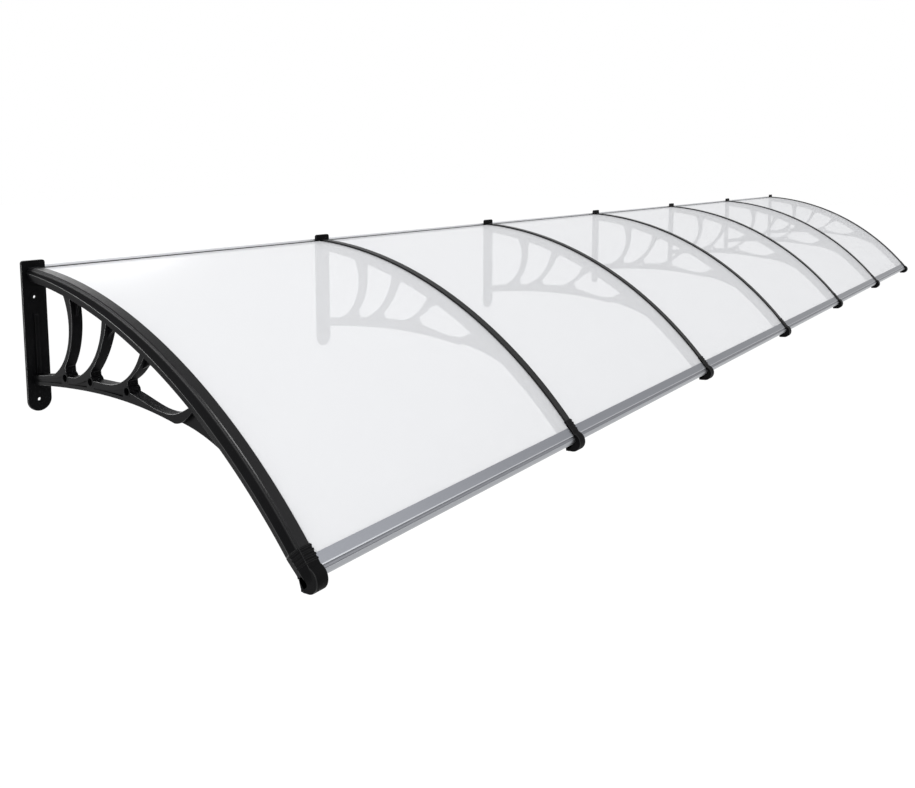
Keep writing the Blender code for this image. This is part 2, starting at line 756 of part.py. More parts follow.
def ridge_section(along):
    """Section of a ridge: it stands proud of the cap's top and sides, down to the belly."""
    top, belly, foot = cap_section(along, RIDGE_HEIGHT)[:3]
    return both_sides([top, belly, (foot[0] - RIDGE_HEIGHT * 2, belly[1] + INSIDE / 2)])


def cut_sheet_slot(body, side):
    """Space for the sheet and the rail on one side of the centre web."""
    slot = [
        arch_point(CAP_START - INSIDE, SHEET_TOP - FIT),
        arch_point(SHEET_END, SHEET_TOP - FIT),
        arch_point(SHEET_END, RIB_TOP),
        arch_point(CAP_START - INSIDE, RIB_TOP),
    ]
    left, right = sorted((side * FIN_WIDTH / 2, side * CAP_WIDTH))
    combine(body, prism(slot, left, right), "DIFFERENCE")
    combine(body, prism(rail_outline(FIT), left, right), "DIFFERENCE")


def back_rail_mesh():
    """Aluminium angle: an upright leg at the wall and a ledge under the sheet's edge."""
    ledge = [along_at(out, SHEET_UNDER) for out in (0.0, BACK_RAIL_LEDGE)]
    top = arch_point(along_at(SHEET_START_OUT, SHEET_TOP), SHEET_TOP)[1] + BACK_RAIL_ABOVE_SHEET
    ledge_top = [arch_point(a, SHEET_UNDER + FIT) for a in ledge]
    ledge_low = [arch_point(a, SHEET_UNDER + FIT + BACK_RAIL_WALL) for a in ledge]
    inner = (BACK_RAIL_WALL, ledge_top[0][1])
    outline = [
        (0.0, top),
        (0.0, ledge_low[0][1]),
        ledge_low[1],
        ledge_top[1],
        inner,
        (BACK_RAIL_WALL, top),
    ]
    left = PLATE_WIDTH / 2 + FIT
    return tidy(prism(outline, left, PANEL_PITCH - left)).data


def back_seal_mesh():
    """Rubber strip that fills the corner between the upright leg and the sheet's edge."""
    low = arch_point(along_at(0.0, SHEET_UNDER), SHEET_UNDER + FIT)[1]
    high = arch_point(along_at(SHEET_START_OUT, SHEET_TOP), SHEET_TOP)[1] + SEAL_ABOVE_SHEET
    back = BACK_RAIL_WALL + FIT
    front = SHEET_START_OUT - FIT
    outline = [(back, low + FIT), (front, low + FIT), (front, high), (back, high)]
    left = PLATE_WIDTH / 2 + FIT * 2
    return tidy(prism(outline, left, PANEL_PITCH - left)).data


def place(name, mesh, x, finish, frame):
    """Put one copy of a piece in the awning, under the common parent."""
    item = new_object(name, mesh)
    item.location = (x, 0, 0)
    item.parent = frame
    if not mesh.materials:
        mesh.materials.append(finish)
    return item


def build():
    remove_scene_objects()
    frame = bpy.data.objects.new("awning", None)
    bpy.context.collection.objects.link(frame)
    black = material("black_plastic", BLACK_PLASTIC)
    cover_black = material("black_cover", BLACK_COVER)
    milky = material("milky_sheet", MILKY_SHEET)
    aluminium = material("aluminium", ALUMINIUM)
    rubber = material("black_rubber", BLACK_RUBBER)
    bracket = bracket_mesh()
    covers = [cover_mesh(side) for side in (-1, 0, 1)]
    caps = [cap_mesh(sides) for sides in ((1,), (-1, 1), (-1,))]
    per_panel = (
        ("sheet", sheet_mesh(), milky),
        ("front_rail", front_rail_mesh(), aluminium),
        ("back_rail", back_rail_mesh(), aluminium),
        ("back_seal", back_seal_mesh(), rubber),
    )
    for item in [o for o in bpy.data.objects if o.type == "MESH"]:
        bpy.data.objects.remove(item, do_unlink=True)
    first_x = -PANEL_PITCH * PANEL_COUNT / 2
    for i in range(PANEL_COUNT + 1):
        x = first_x + PANEL_PITCH * i
        kind = 0 if i == 0 else 2 if i == PANEL_COUNT else 1
        place(f"bracket_{i + 1}", bracket, x, black, frame)
        place(f"cover_strip_{i + 1}", covers[kind], x, cover_black, frame)
        place(f"front_cap_{i + 1}", caps[kind], x, black, frame)
    for i in range(PANEL_COUNT):
        for name, mesh, finish in per_panel:
            place(f"{name}_{i + 1}", mesh, first_x + PANEL_PITCH * i, finish, frame)


build()
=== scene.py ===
"""Looks of the door awning: moulded brackets, milky sheets, cover strips, rails and seals.

Lengths are in metres. +X runs along the awning, the wall is at Y = 0 on the +Y side and +Z
is up. Side profiles are (out, up) pairs, where out is the distance from the wall.
"""
import math

import bmesh
import bpy
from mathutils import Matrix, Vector


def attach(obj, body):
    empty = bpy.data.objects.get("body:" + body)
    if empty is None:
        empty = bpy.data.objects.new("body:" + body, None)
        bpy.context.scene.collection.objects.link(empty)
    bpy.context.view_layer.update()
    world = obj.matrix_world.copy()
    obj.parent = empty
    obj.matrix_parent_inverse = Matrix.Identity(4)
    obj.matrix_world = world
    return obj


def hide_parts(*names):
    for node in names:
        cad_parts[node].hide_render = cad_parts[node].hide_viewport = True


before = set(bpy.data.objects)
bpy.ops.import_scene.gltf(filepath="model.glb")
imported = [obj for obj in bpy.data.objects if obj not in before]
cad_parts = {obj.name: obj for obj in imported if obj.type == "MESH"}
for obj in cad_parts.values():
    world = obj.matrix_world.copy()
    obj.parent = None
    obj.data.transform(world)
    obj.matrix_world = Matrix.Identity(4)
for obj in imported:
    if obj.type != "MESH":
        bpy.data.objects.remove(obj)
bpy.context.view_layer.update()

# Brackets
# Seven equal injection mouldings in black plastic carry the awning. Each is one piece: a wall
# plate with two countersunk holes, an arched rib with a centre fin, and an open frame of
# crescent struts that stand on round bosses.
PANEL_COUNT = 6
PANEL_PITCH = 1.0
BRACKET_PLACES = [PANEL_PITCH * (i - PANEL_COUNT / 2) for i in range(PANEL_COUNT + 1)]
PLATE_WIDTH = 0.060
PLATE_HEIGHT = 0.387
PLATE_THICKNESS = 0.008
PLATE_CORNER = 0.007
PLATE_RIDGE_HEIGHT = 0.004
PAD_RADIUS = 0.012
PAD_THICKNESS = 0.003
SCREW_HOLE_RADIUS = 0.00425
COUNTERSINK_RADIUS = 0.0075
COUNTERSINK_DEPTH = 0.0035
PLATE_TOP = PLATE_HEIGHT / 2
UPPER_SCREW = PLATE_TOP - 0.093
LOWER_SCREW = PLATE_WIDTH / 2 - PLATE_TOP
ARCH_RADIUS = 1.400
ARCH_TILT = math.radians(2.5)
ARCH_CENTRE = (
    -ARCH_RADIUS * math.sin(ARCH_TILT),
    PLATE_TOP - 0.016 - ARCH_RADIUS * math.cos(ARCH_TILT),
)
CAP_START = 1.110
FIT = 0.0003
COVER_THICKNESS = 0.0050
SHEET_TOP = COVER_THICKNESS + FIT
SHEET_UNDER = SHEET_TOP + 0.0035
RIB_TOP = SHEET_UNDER + FIT
RIB_END = CAP_START - FIT
RIB_WIDTH = 0.028
BELLY_WIDTH = 0.040
FOOT_WIDTH = 0.025
BELLY_ABOVE_FOOT = 0.0215
RIB_DEPTH_AT_WALL = 0.026
RIB_DEPTH_MOST = 0.0415
RIB_DEEPEST_AT = 0.900
FIN_WIDTH = 0.004
FRAME_WIDTH = 0.027
CHORD_DEPTH = 0.028
CHORD_DEPTH_AT_ENDS = 0.024
CHORD_START = 0.002
CHORD_END = 0.600
LOOP_MEETS_RIB = 0.716
GUSSET_MEETS_RIB = 0.905
GUSSET_WIDTH = 0.008
CREST_WEB_WIDTH = 0.006
# Where each crescent strut leaves the rib, how wide it is there, where it lands on the chord,
# where its boss is, how thick it is above the boss, and how far its two faces bow
STRUTS = (
    (0.178, 0.030, 0.100, 0.160, 0.0230, 0.048, 0.020),
    (0.352, 0.020, 0.205, 0.273, 0.0180, 0.029, 0.009),
    (0.515, 0.017, 0.335, 0.424, 0.0085, 0.024, 0.006),
)
BOSS_RADIUS = 0.014
BOSS_HOLE_RADIUS = 0.009
BOSS_ABOVE_CHORD = 0.024
NECK_BEYOND_BOSS = 0.004
POCKET_FROM_PLATE = 0.004
POCKET_FROM_BOSS = BOSS_RADIUS + 0.0015
POCKET_RIM = 0.009
POCKET_HEIGHT_AT_PLATE = 0.006
POCKET_HEIGHT_PAST_BOSS = 0.002
POCKET_HEIGHT = CHORD_DEPTH - 0.010
POCKET_DEPTH_START = 0.0012
POCKET_DEPTH_END = 0.0050
TONGUE_LENGTH = 0.018
TONGUE_DROP = 0.008
TONGUE_DEPTH = 0.014
TONGUE_WIDTH = 0.014
# How far a part of the moulding reaches into the part that it grows from
ROOT = 0.004
SOFT_EDGE = 0.0009


def arch_point(along, depth):
    """Point at a distance along the arch and at a depth below the top of the cover strips."""
    angle = ARCH_TILT + along / ARCH_RADIUS
    reach = ARCH_RADIUS - depth
    return (ARCH_CENTRE[0] + reach * math.sin(angle), ARCH_CENTRE[1] + reach * math.cos(angle))


def along_at(out, depth):
    """Distance along the arch of the place that is this far out from the wall."""
    return (math.asin((out - ARCH_CENTRE[0]) / (ARCH_RADIUS - depth)) - ARCH_TILT) * ARCH_RADIUS


def evenly(start, end, steps):
    return [start + (end - start) * i / steps for i in range(steps + 1)]


def rib_under(along):
    """Depth of the rib's underside, which swells from the wall to where the rib is deepest."""
    short = (RIB_DEEPEST_AT - along) / RIB_DEEPEST_AT
    return RIB_TOP + RIB_DEPTH_MOST - (RIB_DEPTH_MOST - RIB_DEPTH_AT_WALL) * short * short


def bezier(start, first, second, end, steps):
    points = []
    for t in evenly(0, 1, steps):
        weights = ((1 - t) ** 3, 3 * t * (1 - t) ** 2, 3 * t * t * (1 - t), t ** 3)
        corners = (start, first, second, end)
        points.append(tuple(sum(w * c[k] for w, c in zip(weights, corners)) for k in (0, 1)))
    return points


def bow(start, end, rise, steps):
    """Circular arc between two points; a negative rise bulges to the left of its direction."""
    a, b = Vector(start), Vector(end)
    half = (b - a) / 2
    side = Vector((half.y, -half.x)).normalized()
    radius = (half.length_squared + rise * rise) / (2 * rise)
    centre = a + half - side * (radius - rise)
    sweep = 2 * math.asin(half.length / radius)
    turns = evenly(-sweep / 2, sweep / 2, steps)
    ahead = half.normalized()
    return [tuple(centre + (side * math.cos(t) + ahead * math.sin(t)) * radius) for t in turns]


def arc(centre, radius, start, sweep, steps):
    turns = evenly(start, start + sweep, steps)
    return [(centre[0] + radius * math.cos(t), centre[1] + radius * math.sin(t)) for t in turns]


def height_on(points, out):
    """Height at which a line of points passes a distance from the wall."""
    for (o1, u1), (o2, u2) in zip(points, points[1:]):
        if min(o1, o2) <= out <= max(o1, o2):
            return u1 + (u2 - u1) * (out - o1) / (o2 - o1)
    return points[-1][1]


CHORD_UNDER = bezier((CHORD_START, -0.1243), (0.2, -0.100), (0.4, -0.082), (CHORD_END, -0.1145), 40)


def chord_height(out):
    return height_on(CHORD_UNDER, out)


BOSS_CENTRES = [(0, -s[3], chord_height(s[3]) + BOSS_ABOVE_CHORD) for s in STRUTS]


def under_rib(along, inside):
    """Point on the rib's underside, or a little inside the rib."""
    return arch_point(along, rib_under(along) - inside)


def strut_faces(strut):
    """Rear and front face of a crescent strut, from inside the rib down to the chord."""
    top, top_width, foot, boss, neck_thickness, rear_bow, front_bow = strut
    rear = bow(under_rib(top, 0), (foot, chord_height(foot) + CHORD_DEPTH), -rear_bow, 24)
    neck_out = boss + NECK_BEYOND_BOSS
    neck = (neck_out, height_on(rear[::-1], neck_out) - neck_thickness)
    front = bow(under_rib(top + top_width, 0), neck, -front_bow, 18)
    landing = (neck_out + 0.002, chord_height(neck_out) + CHORD_DEPTH)
    return [under_rib(top, ROOT)] + rear, [under_rib(top + top_width, ROOT)] + front + [landing]


def open_frame_profile():
    """Bottom chord, three struts and the front loop, with open bays between them."""
    profile = CHORD_UNDER[:]
    end_up = CHORD_UNDER[-1][1]
    loop_outer = under_rib(LOOP_MEETS_RIB + 0.014, ROOT)
    loop_inner = under_rib(LOOP_MEETS_RIB, ROOT)
    arms = (CHORD_END + 0.022, end_up + 0.001), (CHORD_END + 0.040, end_up + 0.014)
    profile += bezier(CHORD_UNDER[-1], *arms, loop_outer, 16)[1:]
    ribbon_end = CHORD_END - 0.035
    low = (ribbon_end, chord_height(ribbon_end) + 0.012)
    arms = (CHORD_END + 0.020, low[1] + 0.010), (CHORD_END + 0.002, low[1] - 0.001)
    profile += bezier(loop_inner, *arms, low, 16)
    ribbon_start = STRUTS[-1][3] + 0.012
    start = (ribbon_start, chord_height(ribbon_start) + CHORD_DEPTH_AT_ENDS)
    arms = (ribbon_end - 0.040, low[1]), (ribbon_start + 0.040, start[1] - 0.006)
    profile += bezier(low, *arms, start, 16)[1:]
    for strut in STRUTS[::-1]:
        rear, front = strut_faces(strut)
        profile += front[::-1] + rear
    return profile + [(CHORD_START, chord_height(CHORD_START) + CHORD_DEPTH_AT_ENDS)]


def soften(shape, edge):
    """Round every hard edge; the rounded faces take the piece's second finish."""
    bmesh.ops.recalc_face_normals(shape, faces=shape.faces)
    sharp = math.radians(28)
    hard = [e for e in shape.edges if e.is_manifold and e.calc_face_angle() > sharp]
    bmesh.ops.bevel(
        shape, geom=hard, offset=edge, segments=2, profile=0.6, affect="EDGES",
        clamp_overlap=False, material=1,
    )
    return shape


def extruded(points, travel):
    """Closed shape that a flat outline leaves behind as it travels."""
    shape = bmesh.new()
    face = shape.faces.new([shape.verts.new(p) for p in points])
    grown = bmesh.ops.extrude_face_region(shape, geom=[face])["geom"]
    far = [v for v in grown if isinstance(v, bmesh.types.BMVert)]
    bmesh.ops.translate(shape, verts=far, vec=travel)
    bmesh.ops.recalc_face_normals(shape, faces=shape.faces)
    return shape


def slab(profile, left, right, edge=SOFT_EDGE):
    """Slab between two x places with a side profile, its edges softened."""
    shape = extruded([(left, -out, up) for out, up in profile], (right - left, 0, 0))
    return soften(shape, edge) if edge else shape


def run(section_at, places, edge=SOFT_EDGE):
    """Shape whose cross-section of (x, depth) pairs follows the arch."""
    shape = bmesh.new()
    rings = []
    for along in places:
        corners = [(x, *arch_point(along, depth)) for x, depth in section_at(along)]
        rings.append([shape.verts.new((x, -out, up)) for x, out, up in corners])
    for near, far in zip(rings, rings[1:]):
        for i in range(len(near)):
            shape.faces.new((near[i - 1], near[i], far[i], far[i - 1]))
    shape.faces.new(rings[0])
    shape.faces.new(rings[-1][::-1])
    return soften(shape, edge) if edge else shape


def turned(centre, axis, profile, steps=48, tube=False):
    """Round shape from (distance, radius) pairs along the x or the y axis."""
    shape = bmesh.new()
    rings = []
    for distance, radius in profile:
        ring = []
        for a, b in arc((0, 0), radius, 0, 2 * math.pi * (steps - 1) / steps, steps - 1):
            offset = (distance, a, b) if axis == "x" else (a, distance, b)
            ring.append(shape.verts.new(Vector(centre) + Vector(offset)))
        rings.append(ring)
    pairs = list(zip(rings, rings[1:] + rings[:1])) if tube else list(zip(rings, rings[1:]))
    for near, far in pairs:
        for i in range(steps):
            shape.faces.new((near[i - 1], near[i], far[i], far[i - 1]))
    if not tube:
        shape.faces.new(rings[0])
        shape.faces.new(rings[-1][::-1])
    bmesh.ops.recalc_face_normals(shape, faces=shape.faces)
    return shape


def to_mesh(shape, name):
    mesh = bpy.data.meshes.new(name)
    shape.to_mesh(mesh)
    shape.free()
    return mesh


def cut_away(body, cutters):
    """The body with each cutter's shape taken out of it, as a new shape."""
    holder = bpy.data.objects.new("blank", to_mesh(body, "blank"))
    bpy.context.scene.collection.objects.link(holder)
    tools = []
    for cutter in cutters:
        tool = bpy.data.objects.new("cutter", to_mesh(cutter, "cutter"))
        bpy.context.scene.collection.objects.link(tool)
        cut = holder.modifiers.new("cut", "BOOLEAN")
        cut.operation = "DIFFERENCE"
        cut.solver = "EXACT"
        cut.object = tool
        tools.append(tool)
    graph = bpy.context.evaluated_depsgraph_get()
    result = bmesh.new()
    result.from_mesh(holder.evaluated_get(graph).to_mesh())
    for item in [holder] + tools:
        bpy.data.objects.remove(item, do_unlink=True)
    return result


def joined(name, shapes):
    """One mesh of all the shapes, smooth but for its hard edges."""
    whole = bmesh.new()
    for shape in shapes:
        part = to_mesh(shape, "part")
        whole.from_mesh(part)
        bpy.data.meshes.remove(part)
    mesh = to_mesh(whole, name)
    mesh.shade_smooth()
    mesh.set_sharp_from_angle(angle=math.radians(42))
    return mesh


def pocket(start, end, start_height, end_height, side):
    """Cutter for a wedge pocket in the chord's side: its floor slopes in towards a boss."""
    low = [(o, chord_height(o) + POCKET_RIM) for o in evenly(start, end, 10)]
    high = [(o, u + start_height + (end_height - start_height) * r * r)
            for (o, u), r in zip(low, evenly(0, 1, 10))]
    face, clear = FRAME_WIDTH / 2, 0.004
    shape = extruded([(side * (face + clear), -out, up) for out, up in low + high[::-1]],
                     (-side * clear, 0, 0))
    for vert in shape.verts:
        if abs(vert.co.x) < face + clear / 2:
            share = (-vert.co.y - start) / (end - start)
            depth = POCKET_DEPTH_START + (POCKET_DEPTH_END - POCKET_DEPTH_START) * share
            vert.co.x = side * (face - depth)
    return shape


def bracket_frame():
    """Open frame with its pockets sunk and its bosses bored through."""
    half = FRAME_WIDTH / 2
    cutters = []
    start, start_height = PLATE_THICKNESS + POCKET_FROM_PLATE, POCKET_HEIGHT_AT_PLATE
    for centre in BOSS_CENTRES:
        boss = -centre[1]
        for side in (-1, 1):
            cutters.append(pocket(start, boss - POCKET_FROM_BOSS, start_height, POCKET_HEIGHT, side))
        start, start_height = boss + POCKET_FROM_BOSS, POCKET_HEIGHT_PAST_BOSS
        cutters.append(turned(centre, "x", [(-0.03, BOSS_HOLE_RADIUS), (0.03, BOSS_HOLE_RADIUS)]))
    return cut_away(slab(open_frame_profile(), -half, half), cutters)


def bosses():
    """Round tubes at the struts' feet, a little proud of the frame."""
    half = RIB_WIDTH / 2
    edge = 0.0008
    wall = [
        (-half, BOSS_HOLE_RADIUS + edge), (-half, BOSS_RADIUS - edge), (-half + edge, BOSS_RADIUS),
        (half - edge, BOSS_RADIUS), (half, BOSS_RADIUS - edge), (half, BOSS_HOLE_RADIUS + edge),
        (half - edge, BOSS_HOLE_RADIUS), (-half + edge, BOSS_HOLE_RADIUS),
    ]
    return [turned(centre, "x", wall, tube=True) for centre in BOSS_CENTRES]


def both_sides(right):
    """Closed section from its right half, listed from the top down."""
    return right + [(-x, depth) for x, depth in right[::-1]]


def rib_section(along):
    """Rib with a fin between the sheets; its sides flare out and then run in to the foot."""
    fin, under = FIN_WIDTH / 2, rib_under(along)
    return both_sides([
        (fin, SHEET_TOP), (fin, RIB_TOP), (RIB_WIDTH / 2, RIB_TOP),
        (BELLY_WIDTH / 2, under - BELLY_ABOVE_FOOT), (FOOT_WIDTH / 2, under),
    ])


def gusset():
    """Thin web from the front loop along the rib's underside."""
    heel = CHORD_END - 0.010
    end = under_rib(GUSSET_MEETS_RIB, ROOT)
    lower = bow((heel, chord_height(heel) + 0.0025), end, -0.013, 24)
    upper = [under_rib(a, 0.008) for a in evenly(GUSSET_MEETS_RIB, LOOP_MEETS_RIB + 0.007, 8)[2:]]
    return slab(lower + upper + [(CHORD_END, CHORD_UNDER[-1][1] + 0.006)],
                -GUSSET_WIDTH / 2, GUSSET_WIDTH / 2)


def crest_webs():
    """Small webs that fill the corner between each strut's front face and the rib."""
    webs = []
    for strut in STRUTS:
        front = strut_faces(strut)[1]
        meets = strut[0] + strut[1]
        low = min(front, key=lambda p: abs(p[1] - front[1][1] + 0.040))
        rib_side = under_rib(meets + 0.022, ROOT)
        sweep = bezier(low, (low[0] + 0.006, low[1] + 0.016), (rib_side[0] - 0.006, rib_side[1] - 0.012),
                       rib_side, 10)
        inside = [under_rib(meets - ROOT, ROOT), (low[0] - ROOT, low[1])]
        webs.append(slab(sweep + inside, -CREST_WEB_WIDTH / 2, CREST_WEB_WIDTH / 2, edge=0.0006))
    return webs


def wall_plate():
    """Plate with its pad, ridge and two countersunk holes."""
    half = PLATE_WIDTH / 2
    quarter = math.pi / 2
    outline = arc((half - PLATE_CORNER, PLATE_TOP - PLATE_CORNER), PLATE_CORNER, 0, quarter, 8)
    outline += arc((PLATE_CORNER - half, PLATE_TOP - PLATE_CORNER), PLATE_CORNER, quarter, quarter, 8)
    outline += arc((0, LOWER_SCREW), half, math.pi, math.pi, 32)
    plate = soften(extruded([(x, 0, up) for x, up in outline], (0, -PLATE_THICKNESS, 0)), 0.0012)
    pad_face = -PLATE_THICKNESS - PAD_THICKNESS
    bevel = 0.0008
    pad = turned((0, 0, UPPER_SCREW), "y",
                 [(-ROOT, PAD_RADIUS), (pad_face + bevel, PAD_RADIUS), (pad_face, PAD_RADIUS - bevel)])
    ridge_face = PLATE_THICKNESS + PLATE_RIDGE_HEIGHT
    ridge = slab([(ROOT, -0.112), (ridge_face, -0.112), (ridge_face, 0.056), (ROOT, 0.064)],
                 -0.005, 0.005)
    shapes = []
    for shape, holes in ((plate, (UPPER_SCREW, LOWER_SCREW)), (pad, (UPPER_SCREW,))):
        cutters = []
        for up in holes:
            face = pad_face if up == UPPER_SCREW else -PLATE_THICKNESS
            flare = (COUNTERSINK_RADIUS - SCREW_HOLE_RADIUS) / COUNTERSINK_DEPTH
            bore = [
                (0.004, SCREW_HOLE_RADIUS), (face + COUNTERSINK_DEPTH, SCREW_HOLE_RADIUS),
                (face, COUNTERSINK_RADIUS), (face - 0.002, COUNTERSINK_RADIUS + 0.002 * flare),
            ]
            cutters.append(turned((0, 0, up), "y", bore))
        shapes.append(cut_away(shape, cutters))
    return shapes + [ridge]


def tongue():
    """Block at the rib's front end that the front cap slides on."""
    root, tip = RIB_END - ROOT, RIB_END + TONGUE_LENGTH
    top, bottom = RIB_TOP + TONGUE_DROP, RIB_TOP + TONGUE_DROP + TONGUE_DEPTH
    corners = ((root, top), (tip, top), (tip, bottom), (root, bottom))
    profile = [arch_point(along, depth) for along, depth in corners]
    return slab(profile, -TONGUE_WIDTH / 2, TONGUE_WIDTH / 2)


class Socket:
    """An output socket that can be used in sums, so that masks are written as maths."""

    def __init__(self, finish, source):
        self.finish = finish
        self.source = source

    def maths(self, operation, *values):
        return self.finish.add("ShaderNodeMath", {"operation": operation}, dict(enumerate(values)))

    def __add__(self, other):
        return self.maths("ADD", self, other)

    def __sub__(self, other):
        return self.maths("SUBTRACT", self, other)

    def __rsub__(self, other):
        return self.maths("SUBTRACT", other, self)

    def __mul__(self, other):
        return self.maths("MULTIPLY", self, other)

    __radd__ = __add__
    __rmul__ = __mul__


class Finish:
    """A surface finish: its nodes are added one by one with their settings and sockets."""

    def __init__(self, name, tree=None):
        if tree is None:
            self.material = bpy.data.materials.new(name)
            self.material.use_nodes = True
            tree = self.material.node_tree
        self.tree = tree
        self.tree.nodes.clear()

    def add(self, kind, settings=None, sockets=None, output=0):
        node = self.tree.nodes.new(kind)
        for name, value in (settings or {}).items():
            if name == "stops":
                ramp = node.color_ramp
                while len(ramp.elements) < len(value):
                    ramp.elements.new(1.0)
                for element, (place, shade) in zip(ramp.elements, value):
                    element.position = place
                    element.color = (shade, shade, shade, 1.0)
            else:
                setattr(node, name, value)
        for name, value in (sockets or {}).items():
            if isinstance(value, Socket):
                self.tree.links.new(value.source, node.inputs[name])
            else:
                node.inputs[name].default_value = value
        return Socket(self, node.outputs[output]) if node.outputs else None

    def place(self, stretch=(1, 1, 1)):
        """Place on the piece in metres, stretched for grain that runs one way."""
        here = self.add("ShaderNodeTexCoord", output="Object")
        return self.add("ShaderNodeVectorMath", {"operation": "MULTIPLY"}, {0: here, 1: stretch})

    def noise(self, where, scale, detail=2.0):
        return self.add(
            "ShaderNodeTexNoise", sockets={"Vector": where, "Scale": scale, "Detail": detail}
        )

    def blend(self, share, first, second):
        """Colour between two colours."""
        return self.add(
            "ShaderNodeMix", {"data_type": "RGBA"}, {0: share, 6: first, 7: second}, output=2
        )

    def surface(self, height, depth, **sockets):
        """Principled surface with a bump of that height map, set as the material's output."""
        names = {name.replace("_", " "): value for name, value in sockets.items()}
        bump = self.add("ShaderNodeBump", sockets={"Height": height, "Distance": depth})
        shader = self.add("ShaderNodeBsdfPrincipled", sockets={**names, "Normal": bump})
        self.add("ShaderNodeOutputMaterial", sockets={"Surface": shader})
        return self.material


def black_moulding():
    """Black plastic with the fine matt grain of a spark-eroded mould."""
    finish = Finish("black_moulding")
    here = finish.place()
    grain = finish.noise(here, 1300, 3)
    flow = finish.noise(finish.place((1, 1, 0.6)), 24, 4)
    rub = finish.add("ShaderNodeValToRGB", {"stops": [(0.45, 0.0), (0.75, 1.0)]},
                     {"Fac": finish.noise(here, 9, 6)})
    colour = finish.blend(rub * 0.5 + grain * 0.3, (0.0022, 0.0022, 0.0025, 1), (0.0060, 0.0060, 0.0068, 1))
    return finish.surface(
        grain + flow * 1.5, 0.00005,
        Base_Color=colour,
        Roughness=0.52 + grain * 0.08 + rub * 0.06,
        Specular_IOR_Level=0.05,
    )


def burnished_edges():
    """The same plastic along its rounded edges, where mould and handling leave it smooth."""
    finish = Finish("burnished_edges")
    here = finish.place()
    scuff = finish.noise(here, 55, 4)
    colour = finish.blend(scuff, (0.003, 0.003, 0.0035, 1), (0.012, 0.012, 0.013, 1))
    return finish.surface(
        finish.noise(here, 900, 2), 0.00002,
        Base_Color=colour,
        Roughness=0.15 + scuff * 0.14,
        Specular_IOR_Level=0.20,
    )


def place_copies(name, meshes, places, finishes, node):
    """Set a piece at each place; each stands for the solid of its own number."""
    for number, (mesh, x) in enumerate(zip(meshes, places), 1):
        if not mesh.materials:
            for finish in finishes:
                mesh.materials.append(finish)
            if len(finishes) == 1:
                mesh.polygons.foreach_set("material_index", [0] * len(mesh.polygons))
        piece = bpy.data.objects.new(f"{name}_{number}", mesh)
        bpy.context.scene.collection.objects.link(piece)
        piece.location = (x, 0, 0)
        normals = piece.modifiers.new("even_normals", "WEIGHTED_NORMAL")
        normals.keep_sharp = True
        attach(piece, "root")
        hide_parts(f"{node}_{number}")


rib = run(rib_section, evenly(along_at(ROOT, RIB_TOP), RIB_END, 48), edge=0.0013)
bracket = joined(
    "moulded_bracket",
    [rib, bracket_frame(), gusset(), tongue(), *crest_webs(), *bosses(), *wall_plate()],
)
black_finishes = [black_moulding(), burnished_edges()]
place_copies("moulded_bracket", [bracket] * len(BRACKET_PLACES), BRACKET_PLACES, black_finishes,
             "bracket")

# Sheets
# Six sheets of milky polycarbonate, 3.5 mm thick, are sprung over the ribs and held between the
# brackets' fins. Daylight comes through them, and what lies behind shows as a faint grey.
SHEET_START = PLATE_THICKNESS + FIT * 2
SHEET_END = 1.150
PANEL_EDGE = FIN_WIDTH / 2 + 0.0005
PANEL_PLACES = BRACKET_PLACES[:-1]


def sheet_mesh():
    left, right = PANEL_EDGE, PANEL_PITCH - PANEL_EDGE
    section = [(left, SHEET_TOP), (right, SHEET_TOP), (right, SHEET_UNDER), (left, SHEET_UNDER)]
    places = evenly(along_at(SHEET_START, SHEET_UNDER), SHEET_END, 64)
    return joined("milky_sheet", [run(lambda along: section, places, edge=0.0004)])


def milky_plastic():
    """White translucent plastic: two fifths of the light that meets a face goes through it."""
    finish = Finish("milky_plastic")
    cloud = finish.noise(finish.place(), 2.0, 1)
    haze = finish.noise(finish.place(), 900, 2)
    colour = finish.blend(cloud, (0.885, 0.888, 0.900, 1), (0.900, 0.902, 0.912, 1))
    return finish.surface(
        haze, 0.00001,
        Base_Color=colour,
        Roughness=0.30 + cloud * 0.06 + haze * 0.04,
        Alpha=0.60,
        Specular_IOR_Level=0.08,
    )


place_copies("milky_sheet", [sheet_mesh()] * PANEL_COUNT, PANEL_PLACES, [milky_plastic()],
             "sheet")

# Cover strips
# A black plastic strip lies over each rib and presses the edges of two sheets down. Its shoulders
# slope and its top is grained. At the two ends of the awning a lip closes the empty sheet slot.
COVER_WIDTH = 0.028
COVER_SHOULDER = 0.0020
LIP_WIDTH = 0.0025
LIP_TOP = 0.0035


def at_ends_and_between(make):
    """Meshes for the seven brackets: the first, the five between the sheets, and the last."""
    return [make(-1)] + [make(0)] * (PANEL_COUNT - 1) + [make(1)]


def cover_mesh(end):
    half = COVER_WIDTH / 2
    section = both_sides([
        (half - COVER_SHOULDER, 0), (half, COVER_SHOULDER), (half, COVER_THICKNESS),
    ])
    places = evenly(along_at(SHEET_START, COVER_THICKNESS), CAP_START - FIT, 64)
    strip = run(lambda along: section, places, edge=0.0004)
    for face in strip.faces:
        on_shoulder = 0.3 < abs(face.normal.x) < 0.95
        if on_shoulder:
            face.material_index = 1
    shapes = [strip]
    if end:
        inner, outer, low = end * (half - LIP_WIDTH), end * half, RIB_TOP - FIT
        lip = [(inner, LIP_TOP), (outer, LIP_TOP), (outer, low), (inner, low)]
        shapes.append(run(lambda along: lip, places, edge=0.0003))
    return joined("grained_cover", shapes)


